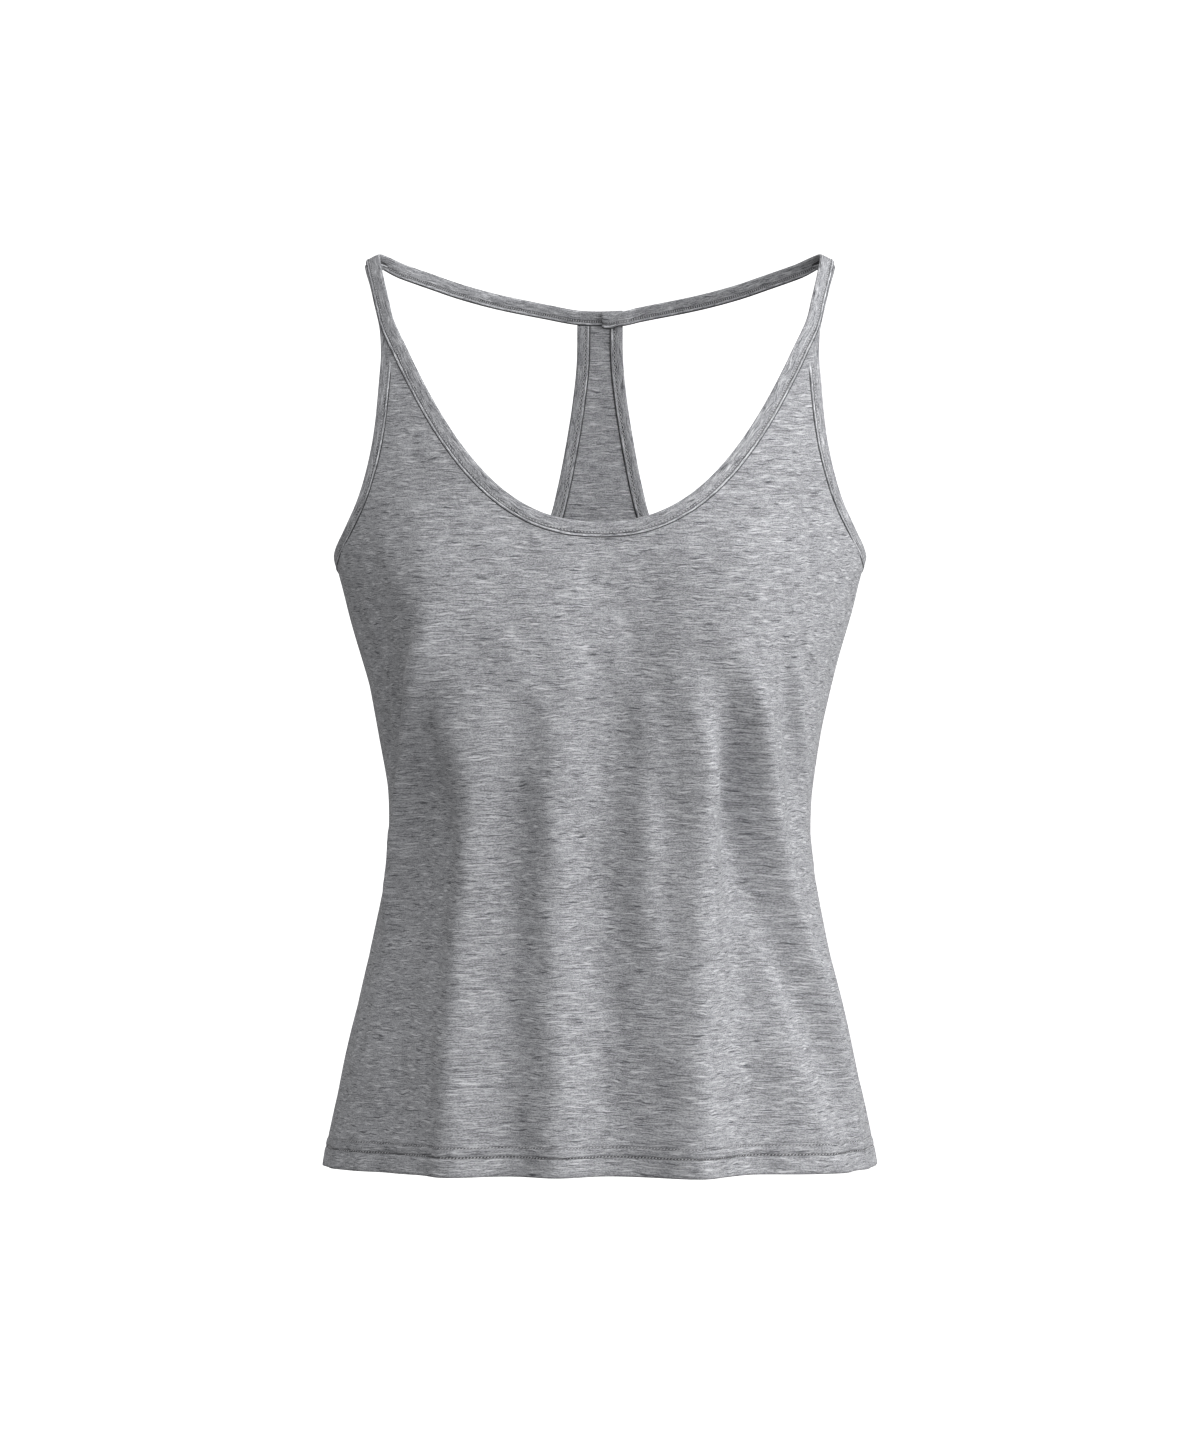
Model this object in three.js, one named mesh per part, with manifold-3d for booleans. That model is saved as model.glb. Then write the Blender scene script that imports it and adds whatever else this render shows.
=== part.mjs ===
// A jersey camisole top with a T-shaped racer back, in the hollow form that it takes when worn.
// Millimetres, +Z up. The front faces -Y and +X is on the right of a front view. The origin lies
// midway between the crests of the two straps, where the shoulders carry the top.

import * as THREE from 'three';
import loadManifold from 'manifold-3d';

const solids = await loadManifold();
solids.setup();

// Driving sizes
const clothThickness = 1.2;
const hemThickness = 2.2;
const hemDepth = 19;
const hemHeight = -589.4;
const hemSwing = 0.03; // how far a fold that stands out by 1 mm lowers the hem
const seamGap = 0.3;
const tapeGap = 0.6; // from a tape to a panel at the tape's stations, and less between them
const sideSeamAngle = 0.09; // keeps each panel half a gap from the sides, in degrees
const neckTapeWidth = 9.2;
const armTapeWidth = 8;
const tapeThickness = 1.8;
const tapeEdgeRounding = 0.5;
const tapeLift = 1.25; // on the strap the neck tape lies this far out, the armhole tape this far in
const armTapeShowing = 3; // of the armhole tape, beside the neck tape on the strap
const joinOverlap = 14; // the neck tape's end lies over its beginning at the centre back
const joinRamp = 10;
const joinStart = 15;
const neckStep = 6;
const armStep = 6.5;
const panelColumns = 56;
const panelRows = 26;
const frontTop = -57; // above the points at which the front panel ends
const armLineTop = -45;
const neckLineTop = -40;
const closingHeight = -15;
const armholeMiddle = { angle: 75, height: -115 };

// The neck edge rises from its lowest point as a power of the distance from the centre.
const neckLow = -176.5;
const neckRise = 0.0010015;
const neckPower = 2.415;
const neckFormEnd = 124;

const materials = {
  jersey: { color: 0x96969b, roughness: 0.9, metalness: 0 },
  tape: { color: 0x8c8c92, roughness: 0.9, metalness: 0 },
};

// The worn form at each height: half width, depth in front of and behind the sides, and squareness,
// where 2 is an ellipse.
const form = [
  { height: -592, halfWidth: 180.3, front: 113, back: 114, square: 2.2 },
  { height: -530, halfWidth: 167.3, front: 108, back: 104, square: 2.2 },
  { height: -470, halfWidth: 153.4, front: 104, back: 92, square: 2.2 },
  { height: -430, halfWidth: 144.4, front: 102.5, back: 85, square: 2.2 },
  { height: -400, halfWidth: 139.2, front: 102.5, back: 81, square: 2.2 },
  { height: -373, halfWidth: 136.9, front: 103.5, back: 80, square: 2.2 },
  { height: -345, halfWidth: 138.2, front: 106, back: 82, square: 2.2 },
  { height: -310, halfWidth: 143.5, front: 110, back: 86, square: 2.25 },
  { height: -275, halfWidth: 150.9, front: 113.5, back: 91, square: 2.3 },
  { height: -237, halfWidth: 161.4, front: 115, back: 96, square: 2.3 },
  { height: -207, halfWidth: 169.8, front: 112.5, back: 99, square: 2.3 },
  { height: -190, halfWidth: 173.6, front: 109.5, back: 99.5, square: 2.3 },
  { height: -150, halfWidth: 175, front: 101, back: 96, square: 2.3 },
  { height: -100, halfWidth: 173, front: 85, back: 86, square: 2.3 },
  { height: -60, halfWidth: 169, front: 66, back: 74, square: 2.3 },
  { height: -30, halfWidth: 167, front: 50, back: 62, square: 2.3 },
];

// Soft folds. Each runs down a path of heights and angles round the body, where 0 is the centre
// front, 90 the right side and 180 the centre back. Its spread is in degrees, and its relief is how
// far it stands out, or in where it is negative. It starts from nothing, is full at a height below,
// and where it doesn't reach the hem, it fades from one height and ends at another.
const folds = [
  {
    starts: -140, full: -220, fades: -300, ends: -380, spread: 12, relief: 15,
    path: [[-140, -37], [-380, -36]],
  },
  {
    starts: -150, full: -230, fades: -300, ends: -380, spread: 12, relief: 8,
    path: [[-150, 35], [-380, 33]],
  },
  {
    starts: -150, full: -230, fades: -300, ends: -380, spread: 16, relief: -11,
    path: [[-150, 6], [-380, 6]],
  },
  {
    starts: -262, full: -380, spread: 6, relief: 11,
    path: [[-260, -24], [-350, -33], [-430, -34], [-510, -32], [-590, -29]],
  },
  {
    starts: -262, full: -360, spread: 6, relief: -6,
    path: [[-260, -18], [-350, -22.5], [-430, -22.5], [-510, -21], [-590, -19]],
  },
  {
    starts: -262, full: -380, spread: 5.5, relief: 5,
    path: [[-260, -12.5], [-350, -13], [-430, -12], [-510, -10], [-590, -8.5]],
  },
  { starts: -240, full: -400, spread: 8, relief: -9, path: [[-240, 2], [-590, 2.5]] },
  {
    starts: -270, full: -320, fades: -430, ends: -500, spread: 4.5, relief: 5,
    path: [[-270, 12], [-500, 12]],
  },
  {
    starts: -240, full: -350, spread: 6.5, relief: 13,
    path: [[-260, 21.5], [-350, 26], [-430, 24], [-510, 20.5], [-590, 18]],
  },
  {
    starts: -250, full: -320, spread: 6.5, relief: -9,
    path: [[-260, 29.5], [-350, 37], [-430, 38], [-510, 36], [-590, 34]],
  },
  {
    starts: -280, full: -340, fades: -500, ends: -620, spread: 5, relief: -8,
    path: [[-280, 28], [-350, 38], [-430, 46.5], [-467, 49.5], [-510, 52.5], [-590, 59]],
  },
  {
    starts: -235, full: -300, fades: -500, ends: -620, spread: 4.5, relief: 12,
    path: [[-235, 29], [-260, 32], [-350, 47], [-430, 54.5], [-467, 57], [-510, 61], [-590, 68]],
  },
  { starts: -400, full: -520, spread: 8, relief: 8, path: [[-400, 50], [-590, 53]] },
  {
    starts: -280, full: -330, fades: -480, ends: -560, spread: 6, relief: -4,
    path: [[-280, 51], [-350, 62], [-430, 70], [-560, 74]],
  },
  {
    starts: -360, full: -450, spread: 9, relief: -5,
    path: [[-360, -52], [-430, -53], [-590, -50]],
  },
  {
    starts: -215, full: -270, fades: -370, ends: -470, spread: 4, relief: 12,
    path: [[-240, -34], [-276, -41], [-314, -48.5], [-353, -56], [-430, -67], [-470, -70]],
  },
  { starts: -410, full: -520, spread: 5, relief: 6, path: [[-410, 108], [-590, 107]] },
  { starts: -265, full: -370, spread: 7, relief: -7, path: [[-265, 125], [-430, 119], [-590, 117]] },
  { starts: -250, full: -360, spread: 6.5, relief: 10, path: [[-250, 141], [-350, 137], [-590, 131]] },
  { starts: -260, full: -380, spread: 6, relief: -8, path: [[-260, 153], [-430, 149], [-590, 146]] },
  {
    starts: -270, full: -400, fades: -500, ends: -585, spread: 6, relief: 6,
    path: [[-270, 163], [-585, 158]],
  },
  { starts: -245, full: -390, spread: 8, relief: -9, path: [[-245, 176], [-590, 173]] },
  { starts: -290, full: -400, spread: 7.5, relief: 11, path: [[-290, 188], [-430, 187], [-590, 189]] },
  { starts: -280, full: -370, spread: 6, relief: -7, path: [[-280, 199], [-430, 201], [-590, 204]] },
  { starts: -250, full: -350, spread: 7, relief: 11, path: [[-250, 209], [-350, 214], [-590, 217]] },
  { starts: -260, full: -340, spread: 7, relief: -9, path: [[-260, 221], [-350, 229], [-590, 232]] },
  {
    starts: -235, full: -310, spread: 5.5, relief: 8,
    path: [[-235, 224], [-290, 233], [-350, 242], [-430, 247], [-590, 248]],
  },
  {
    starts: -230, full: -290, fades: -370, ends: -440, spread: 5, relief: 8,
    path: [[-230, 136], [-440, 100]],
  },
];

// The edge of the armhole, from just below the strap round the arm to the top of the racer back:
// the angle round the body, and the height.
const armholeEdge = [
  { angle: 53.1, height: -65 },
  { angle: 52.5, height: -78 },
  { angle: 52.3, height: -98 },
  { angle: 52.9, height: -118 },
  { angle: 54.8, height: -139 },
  { angle: 58.6, height: -160 },
  { angle: 65, height: -176.5 },
  { angle: 76, height: -190.5 },
  { angle: 90, height: -197 },
  { angle: 105, height: -201.5 },
  { angle: 122, height: -206.5 },
  { angle: 139, height: -209 },
  { angle: 152, height: -206 },
  { angle: 160.5, height: -197.5 },
  { angle: 165.8, height: -184 },
  { angle: 168.8, height: -168.7 },
  { angle: 170.7, height: -147.4 },
  { angle: 172.4, height: -121 },
  { angle: 173.9, height: -92 },
  { angle: 174.8, height: -65 },
  { angle: 174.9, height: -41.2 },
];

// The neck edge over the shoulder and along the back strap, with the way the tape's outer face looks.
const strap = [
  { x: 132.1, y: -42, z: -44.7, nx: 0.48, ny: -0.85, nz: 0.2 },
  { x: 135.4, y: -36, z: -31.4, nx: 0.55, ny: -0.78, nz: 0.3 },
  { x: 139.6, y: -24, z: -14.3, nx: 0.6, ny: -0.6, nz: 0.53 },
  { x: 141.9, y: -12, z: -4.2, nx: 0.52, ny: -0.32, nz: 0.79 },
  { x: 142, y: 0, z: -0.5, nx: 0.42, ny: 0, nz: 0.91 },
  { x: 137, y: 10.5, z: -1.2, nx: 0.38, ny: 0.5, nz: 0.78 },
  { x: 127, y: 20, z: -4.5, nx: 0.36, ny: 0.85, nz: 0.4 },
  { x: 109, y: 33, z: -9.6, nx: 0.46, ny: 0.86, nz: 0.26 },
  { x: 90, y: 43, z: -15.4, nx: 0.4, ny: 0.88, nz: 0.24 },
  { x: 66, y: 52, z: -21.3, nx: 0.27, ny: 0.93, nz: 0.24 },
  { x: 34.4, y: 59.4, z: -27.3, nx: 0.12, ny: 0.94, nz: 0.31 },
  { x: 14, y: 62, z: -30.9, nx: 0.04, ny: 0.94, nz: 0.34 },
];
const backStrapMiddle = { x: 0, y: 62.4, z: -31.4, nx: 0, ny: 0.94, nz: 0.34 };
const armTapeTail = 5; // the row of the strap table, past the crest, where the armhole tape ends
const topGap = 0.6; // between the back strap's lower edge and what hangs from it

const toRadians = Math.PI / 180;
const mix = (a, b, share) => a + (b - a) * share;
const smooth = (share) => {
  const s = Math.min(1, Math.max(0, share));
  return s * s * (3 - 2 * s);
};

// The value of one column of the form table at a height, on a smooth curve through the rows.
function formValue(column, height) {
  const last = form.length - 1;
  const clamped = Math.min(form[last].height, Math.max(form[0].height, height));
  let i = 0;
  while (i < last - 1 && form[i + 1].height < clamped) i += 1;
  const slope = (k) => {
    const before = form[Math.max(0, k - 1)];
    const after = form[Math.min(last, k + 1)];
    return (after[column] - before[column]) / (after.height - before.height);
  };
  const span = form[i + 1].height - form[i].height;
  const t = (clamped - form[i].height) / span;
  const start = form[i][column];
  const end = form[i + 1][column];
  return (
    start * (1 + 2 * t) * (1 - t) ** 2 +
    slope(i) * span * t * (1 - t) ** 2 +
    end * t * t * (3 - 2 * t) -
    slope(i + 1) * span * t * t * (1 - t)
  );
}

function bodyDepth(angle, height) {
  return formValue(Math.cos(angle * toRadians) >= 0 ? 'front' : 'back', height);
}

// The angle of a fold at a height, on straight lines between the places of its path.
function foldAngle({ path }, height) {
  let i = 0;
  while (i < path.length - 2 && path[i + 1][0] > height) i += 1;
  const [above, below] = [path[i], path[i + 1]];
  const share = (above[0] - height) / (above[0] - below[0]);
  return mix(above[1], below[1], Math.min(1, Math.max(0, share)));
}

// How far the folds push the cloth out at an angle and height.
function foldRelief(angle, height) {
  let relief = 0;
  for (const fold of folds) {
    const away = angle - foldAngle(fold, height);
    const wrapped = away - 360 * Math.round(away / 360);
    const across = Math.exp(-((wrapped / fold.spread) ** 2));
    const grown = smooth((fold.starts - height) / (fold.starts - fold.full));
    const left = fold.ends ? smooth((height - fold.ends) / (fold.fades - fold.ends)) : 1;
    relief += fold.relief * across * grown * left;
  }
  return relief;
}

// A point of the cloth's outer face.
function outerPoint(angle, height) {
  const width = formValue('halfWidth', height);
  const depth = bodyDepth(angle, height);
  const square = formValue('square', height);
  const turn = Math.atan2(width * Math.sin(angle * toRadians), depth * Math.cos(angle * toRadians));
  const sum = Math.abs(Math.sin(turn) / width) ** square + Math.abs(Math.cos(turn) / depth) ** square;
  const radius = sum ** (-1 / square) + foldRelief(angle, height);
  return new THREE.Vector3(radius * Math.sin(turn), -radius * Math.cos(turn), height);
}

function outwardNormal(angle, height) {
  const angleStep = 0.4;
  const heightStep = 1;
  const across = outerPoint(angle + angleStep, height).sub(outerPoint(angle - angleStep, height));
  const up = outerPoint(angle, height + heightStep).sub(outerPoint(angle, height - heightStep));
  return across.cross(up).normalize();
}

function clothPoint(angle, height, depth) {
  return outerPoint(angle, height).addScaledVector(outwardNormal(angle, height), -depth);
}

// The angle and height at which the form passes under a point.
function chartOf(point) {
  const width = formValue('halfWidth', point.z);
  const depth = formValue(point.y <= 0 ? 'front' : 'back', point.z);
  const angle = Math.atan2(point.x / width, -point.y / depth) / toRadians;
  return { angle: angle < -90 ? angle + 360 : angle, height: point.z };
}

// The angle and height at which the cloth passes squarely under or over a point.
function chartUnder(point) {
  const near = chartOf(point);
  const normal = outwardNormal(near.angle, near.height);
  const above = point.clone().sub(outerPoint(near.angle, near.height)).dot(normal);
  return chartOf(point.clone().addScaledVector(normal, -above));
}

function closedMesh(points, faces) {
  const geometry = new THREE.BufferGeometry();
  const positions = points.flatMap((point) => [point.x, point.y, point.z]);
  geometry.setAttribute('position', new THREE.Float32BufferAttribute(positions, 3));
  geometry.setIndex(faces.flat());
  geometry.computeVertexNormals();
  return geometry;
}

function quad(a, b, c, d) {
  return [[a, b, c], [a, c, d]];
}

// A cloth wall between an outer and an inner grid of points, each a list of columns of rows. Its
// faces are split along the way that folds spread: down and away from the middle column.
function wall(outer, inner) {
  const columns = outer.length;
  const rows = outer[0].length;
  const points = [...outer.flat(), ...inner.flat()];
  const out = (c, r) => c * rows + r;
  const back = (c, r) => (columns + c) * rows + r;
  const faces = [];
  for (let c = 0; c + 1 < columns; c += 1) {
    for (let r = 0; r + 1 < rows; r += 1) {
      const outside = [out(c, r), out(c + 1, r), out(c + 1, r + 1), out(c, r + 1)];
      const inside = [back(c + 1, r + 1), back(c + 1, r), back(c, r), back(c, r + 1)];
      if (c >= (columns - 1) / 2) {
        outside.push(outside.shift());
        inside.push(inside.shift());
      }
      faces.push(...quad(...outside), ...quad(...inside));
    }
    faces.push(...quad(out(c, 0), back(c, 0), back(c + 1, 0), out(c + 1, 0)));
    const top = rows - 1;
    faces.push(...quad(out(c, top), out(c + 1, top), back(c + 1, top), back(c, top)));
  }
  const end = columns - 1;
  for (let r = 0; r + 1 < rows; r += 1) {
    faces.push(...quad(out(0, r), out(0, r + 1), back(0, r + 1), back(0, r)));
    faces.push(...quad(out(end, r), back(end, r), back(end, r + 1), out(end, r + 1)));
  }
  return closedMesh(points, faces);
}

// A folded tape along a path. Each place on the path is a point of the tape's free edge with its
// outward normal, and the tape's width runs from there along the tangent crossed with the normal.
function framesAlong(path, step) {
  const edge = new THREE.CatmullRomCurve3(path.map((place) => place.point), false, 'centripetal');
  const normals = new THREE.CatmullRomCurve3(path.map((place) => place.normal), false, 'centripetal');
  edge.arcLengthDivisions = path.length * 20;
  const count = Math.round(edge.getLength() / step);
  const frames = [];
  for (let i = 0; i <= count; i += 1) {
    const t = edge.getUtoTmapping(i / count);
    const tangent = edge.getTangent(t);
    const across = tangent.clone().cross(normals.getPoint(t)).normalize();
    const normal = across.clone().cross(tangent).normalize();
    const place = (i / count) * edge.getLength();
    frames.push({ point: edge.getPoint(t), tangent, across, normal, place });
  }
  return frames;
}

function tape(frames, width, liftAt) {
  const half = tapeThickness / 2;
  const section = [
    { across: tapeEdgeRounding, out: half },
    { across: width - tapeEdgeRounding, out: half },
    { across: width, out: 0 },
    { across: width - tapeEdgeRounding, out: -half },
    { across: tapeEdgeRounding, out: -half },
    { across: 0, out: 0 },
  ];
  const around = section.length;
  const points = frames.flatMap((frame) => section.map((corner) => frame.point.clone()
    .addScaledVector(frame.across, corner.across)
    .addScaledVector(frame.normal, corner.out + liftAt(frame))));
  const at = (station, corner) => station * around + (corner % around);
  const last = frames.length - 1;
  const faces = [];
  for (let station = 0; station < last; station += 1) {
    for (let k = 0; k < around; k += 1) {
      faces.push(...quad(at(station, k), at(station, k + 1), at(station + 1, k + 1), at(station + 1, k)));
    }
  }
  for (let k = 1; k + 1 < around; k += 1) {
    faces.push([at(0, 0), at(0, k + 1), at(0, k)]);
    faces.push([at(last, 0), at(last, k), at(last, k + 1)]);
  }
  return closedMesh(points, faces);
}

// A place on the cloth's middle, facing out as the cloth does half a tape's width further on.
function placeOnCloth(angle, height, towards) {
  const point = clothPoint(angle, height, clothThickness / 2);
  const middle = chartOf(point.clone().add(towards));
  return { point, normal: outwardNormal(middle.angle, middle.height) };
}

function neckEdgePlace(x) {
  const height = neckLow + neckRise * Math.abs(x) ** neckPower;
  const width = formValue('halfWidth', height);
  const depth = formValue('front', height);
  const square = formValue('square', height);
  const y = -depth * (1 - (Math.abs(x) / width) ** square) ** (1 / square);
  const { angle } = chartOf({ x, y, z: height });
  const slope = neckRise * neckPower * Math.abs(x) ** (neckPower - 1) * Math.sign(x);
  const half = neckTapeWidth / 2 / Math.hypot(1, slope);
  return placeOnCloth(angle, height, new THREE.Vector3(slope * half, 0, -half));
}

// The front neck edge, from the centre to where the strap begins.
function neckFront(side) {
  const places = 16;
  const reach = (i) => side * neckFormEnd * ((i + 1) / places);
  return Array.from({ length: places }, (unused, i) => neckEdgePlace(reach(i)));
}

function strapPlaces(side) {
  return strap.map((row) => ({
    point: new THREE.Vector3(side * row.x, row.y, row.z),
    normal: new THREE.Vector3(side * row.nx, row.ny, row.nz).normalize(),
  }));
}

// How far out the neck tape lies at a point: on the strap it covers the armhole tape.
function strapShare(point) {
  return smooth((point.z + 86) / 22) * (1 - smooth((point.y - 25) / 15));
}

function neckFrames() {
  const middle = {
    point: new THREE.Vector3(backStrapMiddle.x, backStrapMiddle.y, backStrapMiddle.z),
    normal: new THREE.Vector3(backStrapMiddle.nx, backStrapMiddle.ny, backStrapMiddle.nz).normalize(),
  };
  const left = [...neckFront(-1), ...strapPlaces(-1)].reverse();
  const right = [...neckFront(1), ...strapPlaces(1)];
  const start = strapPlaces(1).at(-1);
  start.point.x = joinStart;
  const end = { point: middle.point.clone().setX(joinStart - joinOverlap), normal: middle.normal };
  return framesAlong([start, middle, ...left, neckEdgePlace(0), ...right, end], neckStep);
}

function neckLift(frames) {
  const length = frames.at(-1).place;
  const under = tapeThickness + seamGap;
  return (frame) => {
    const overlap = smooth((frame.place - (length - joinOverlap - joinRamp)) / joinRamp);
    return tapeLift * strapShare(frame.point) - under * overlap;
  };
}

function armPath(side) {
  const neckSide = framesAlong([...neckFront(1).slice(-3), ...strapPlaces(1)], 1);
  const reach = neckTapeWidth + armTapeShowing;
  const onStrap = strap.slice(0, armTapeTail + 1).map((row) => {
    const crossing = new THREE.Vector3(row.x, row.y, row.z);
    const frame = neckSide.reduce((best, candidate) => (
      candidate.point.distanceTo(crossing) < best.point.distanceTo(crossing) ? candidate : best));
    return {
      point: frame.point.clone().addScaledVector(frame.across, reach),
      normal: frame.normal.clone(),
    };
  }).reverse();
  const onCloth = armholeEdge.map((row, i) => {
    const next = armholeEdge[Math.min(i + 1, armholeEdge.length - 1)];
    const before = armholeEdge[Math.max(i - 1, 0)];
    const tangent = outerPoint(next.angle, next.height).sub(outerPoint(before.angle, before.height));
    const across = tangent.cross(outwardNormal(row.angle, row.height)).setLength(armTapeWidth / 2);
    return placeOnCloth(side * row.angle, row.height, across.setX(side * across.x));
  });
  if (side > 0) return [...onStrap, ...onCloth];
  const mirrored = onStrap.map((place) => ({
    point: place.point.setX(-place.point.x),
    normal: place.normal.setX(-place.normal.x),
  }));
  return [...mirrored, ...onCloth].reverse();
}

const armLift = (frame) => -tapeLift * strapShare(frame.point);

// The line on which a panel ends beside a tape, as angles and heights.
function panelEdge(frames, width) {
  const reach = width + tapeGap;
  return frames.map((frame) => chartUnder(frame.point.clone().addScaledVector(frame.across, reach)));
}

// A panel before its openings are cut: a half of the form, from the hem up to one height. The hem is
// a doubled layer, turned up inside.
function uncutPanel(firstAngle, lastAngle, topHeight) {
  const low = firstAngle + sideSeamAngle;
  const high = lastAngle - sideSeamAngle;
  const hemFade = 0.5;
  const outer = [];
  const inner = [];
  for (let c = 0; c <= panelColumns; c += 1) {
    const angle = mix(low, high, c / panelColumns);
    const bottom = hemHeight - hemSwing * foldRelief(angle, hemHeight);
    const foldedTop = bottom + hemDepth + hemFade;
    const heights = [bottom, foldedTop - 2 * hemFade, foldedTop];
    for (let r = 1; r <= panelRows; r += 1) heights.push(mix(foldedTop, topHeight, r / panelRows));
    const thickness = (r) => (r < 2 ? hemThickness : clothThickness);
    outer.push(heights.map((height) => outerPoint(angle, height)));
    inner.push(heights.map((height, r) => clothPoint(angle, height, thickness(r))));
  }
  return wall(outer, inner);
}

// A thick patch that fills an opening: its rim is a ring of chart places, fanned out from its middle.
function openingPatch(rim, middle) {
  const reach = 22;
  const places = [middle, ...rim];
  const layer = (depth) => places.map(({ angle, height }) => clothPoint(angle, height, depth));
  const points = [...layer(-reach), ...layer(reach)];
  const under = places.length;
  const faces = [];
  for (let i = 1; i < places.length; i += 1) {
    const next = (i % rim.length) + 1;
    faces.push([0, i, next], [under, under + next, under + i]);
    faces.push(...quad(i, under + i, under + next, next));
  }
  return closedMesh(points, faces);
}

function solidOf(geometry) {
  return new solids.Manifold(new solids.Mesh({
    numProp: 3,
    vertProperties: Float32Array.from(geometry.attributes.position.array),
    triVerts: Uint32Array.from(geometry.index.array),
  }));
}

function cut(geometry, patches) {
  const body = patches.reduce((left, patch) => left.subtract(solidOf(patch)), solidOf(geometry));
  const rest = body.getMesh();
  const result = new THREE.BufferGeometry();
  result.setAttribute('position', new THREE.Float32BufferAttribute(rest.vertProperties, 3));
  result.setIndex([...rest.triVerts]);
  result.computeVertexNormals();
  return result;
}

const armFrames = { right: framesAlong(armPath(1), armStep), left: framesAlong(armPath(-1), armStep) };
const tapeLoop = neckFrames();

// Chart places above the cloth, between two angles, that close the rim of an opening.
function above(fromAngle, toAngle) {
  const steps = Math.ceil(Math.abs(toAngle - fromAngle) / 15);
  return Array.from({ length: steps + 1 }, (unused, i) => ({
    angle: mix(fromAngle, toAngle, i / steps),
    height: closingHeight,
  }));
}

// The armhole on one side, as two patches, one for each panel.
function armholePatches(side) {
  const frames = side > 0 ? armFrames.right : [...armFrames.left].reverse();
  const chart = frames.filter((frame) => frame.point.z < armLineTop || frame.point.y > 30);
  const line = panelEdge(chart, armTapeWidth).map(({ angle, height }) => ({
    angle: side < 0 ? 360 - (angle + 360) % 360 : angle,
    height,
  }));
  const atSeam = line.findIndex(({ angle }) => angle > 90);
  const overlap = 2;
  const front = line.slice(0, atSeam + overlap);
  const back = line.slice(atSeam - overlap);
  const frontRim = [...above(front.at(-1).angle, front[0].angle), ...front];
  const backRim = [...above(back.at(-1).angle, back[0].angle), ...back];
  const patch = (rim, middle) => {
    const mirror = ({ angle, height }) => ({ angle: 360 - angle, height });
    return side > 0 ? openingPatch(rim, middle) : openingPatch(rim.map(mirror).reverse(), mirror(middle));
  };
  return { front: patch(frontRim, armholeMiddle), back: patch(backRim, { ...armholeMiddle, angle: 125 }) };
}

function neckPatch() {
  const frames = tapeLoop.filter((frame) => frame.point.y < 0 && frame.point.z < neckLineTop);
  const line = panelEdge(frames, neckTapeWidth);
  return openingPatch([...above(line.at(-1).angle, line[0].angle), ...line], { angle: 0, height: -100 });
}

// The height at which the racer back ends, under the back strap.
function strapUnderside() {
  const middle = tapeLoop.reduce((best, frame) => (
    Math.abs(frame.point.x) < Math.abs(best.point.x) && frame.point.y > 0 ? frame : best), tapeLoop[1]);
  return middle.point.z + middle.across.z * neckTapeWidth - topGap;
}

const right = armholePatches(1);
const left = armholePatches(-1);
const pieces = {
  front_panel: {
    geometry: cut(uncutPanel(-90, 90, frontTop), [neckPatch(), right.front, left.front]),
    finish: materials.jersey,
  },
  back_panel: {
    geometry: cut(uncutPanel(90, 270, strapUnderside()), [right.back, left.back]),
    finish: materials.jersey,
  },
  neck_binding: { geometry: tape(tapeLoop, neckTapeWidth, neckLift(tapeLoop)), finish: materials.tape },
  armhole_binding_right: { geometry: tape(armFrames.right, armTapeWidth, armLift), finish: materials.tape },
  armhole_binding_left: { geometry: tape(armFrames.left, armTapeWidth, armLift), finish: materials.tape },
};

const top = new THREE.Group();
for (const [name, piece] of Object.entries(pieces)) {
  const mesh = new THREE.Mesh(piece.geometry, new THREE.MeshStandardMaterial(piece.finish));
  mesh.name = name;
  top.add(mesh);
}

export default top;
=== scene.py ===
# Grey heather jersey camisole top with bound edges and a T-shaped racer back, in its worn form.
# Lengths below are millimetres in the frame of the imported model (+Z up, front towards -Y), and
# meshes are made in metres.
import math

import bpy
import numpy as np
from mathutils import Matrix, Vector


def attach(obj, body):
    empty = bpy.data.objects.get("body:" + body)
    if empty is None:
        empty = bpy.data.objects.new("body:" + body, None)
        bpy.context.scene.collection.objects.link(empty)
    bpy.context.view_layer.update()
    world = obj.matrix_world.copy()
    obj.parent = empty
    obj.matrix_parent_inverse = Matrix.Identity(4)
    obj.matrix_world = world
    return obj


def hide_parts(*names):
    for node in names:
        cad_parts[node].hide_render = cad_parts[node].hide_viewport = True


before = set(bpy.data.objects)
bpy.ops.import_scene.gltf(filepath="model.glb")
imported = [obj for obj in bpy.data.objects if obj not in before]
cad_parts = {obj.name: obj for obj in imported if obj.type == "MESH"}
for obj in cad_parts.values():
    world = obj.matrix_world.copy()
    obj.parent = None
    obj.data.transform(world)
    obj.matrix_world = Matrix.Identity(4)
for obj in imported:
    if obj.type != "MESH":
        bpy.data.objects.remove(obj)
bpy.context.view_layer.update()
mm = 0.001
print("frame loaded:", sorted(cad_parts))


# Small helpers on whole arrays

# A smooth step: 3s^2 - 2s^3 with s held between 0 and 1.
def smooth(share):
    s = np.clip(share, 0.0, 1.0)
    return s * s * (3.0 - 2.0 * s)


def unit(vectors):
    return vectors / np.linalg.norm(vectors, axis=-1, keepdims=True)


def vector(x, y, z):
    return np.stack(np.broadcast_arrays(x, y, z), axis=-1).astype(float)


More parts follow.
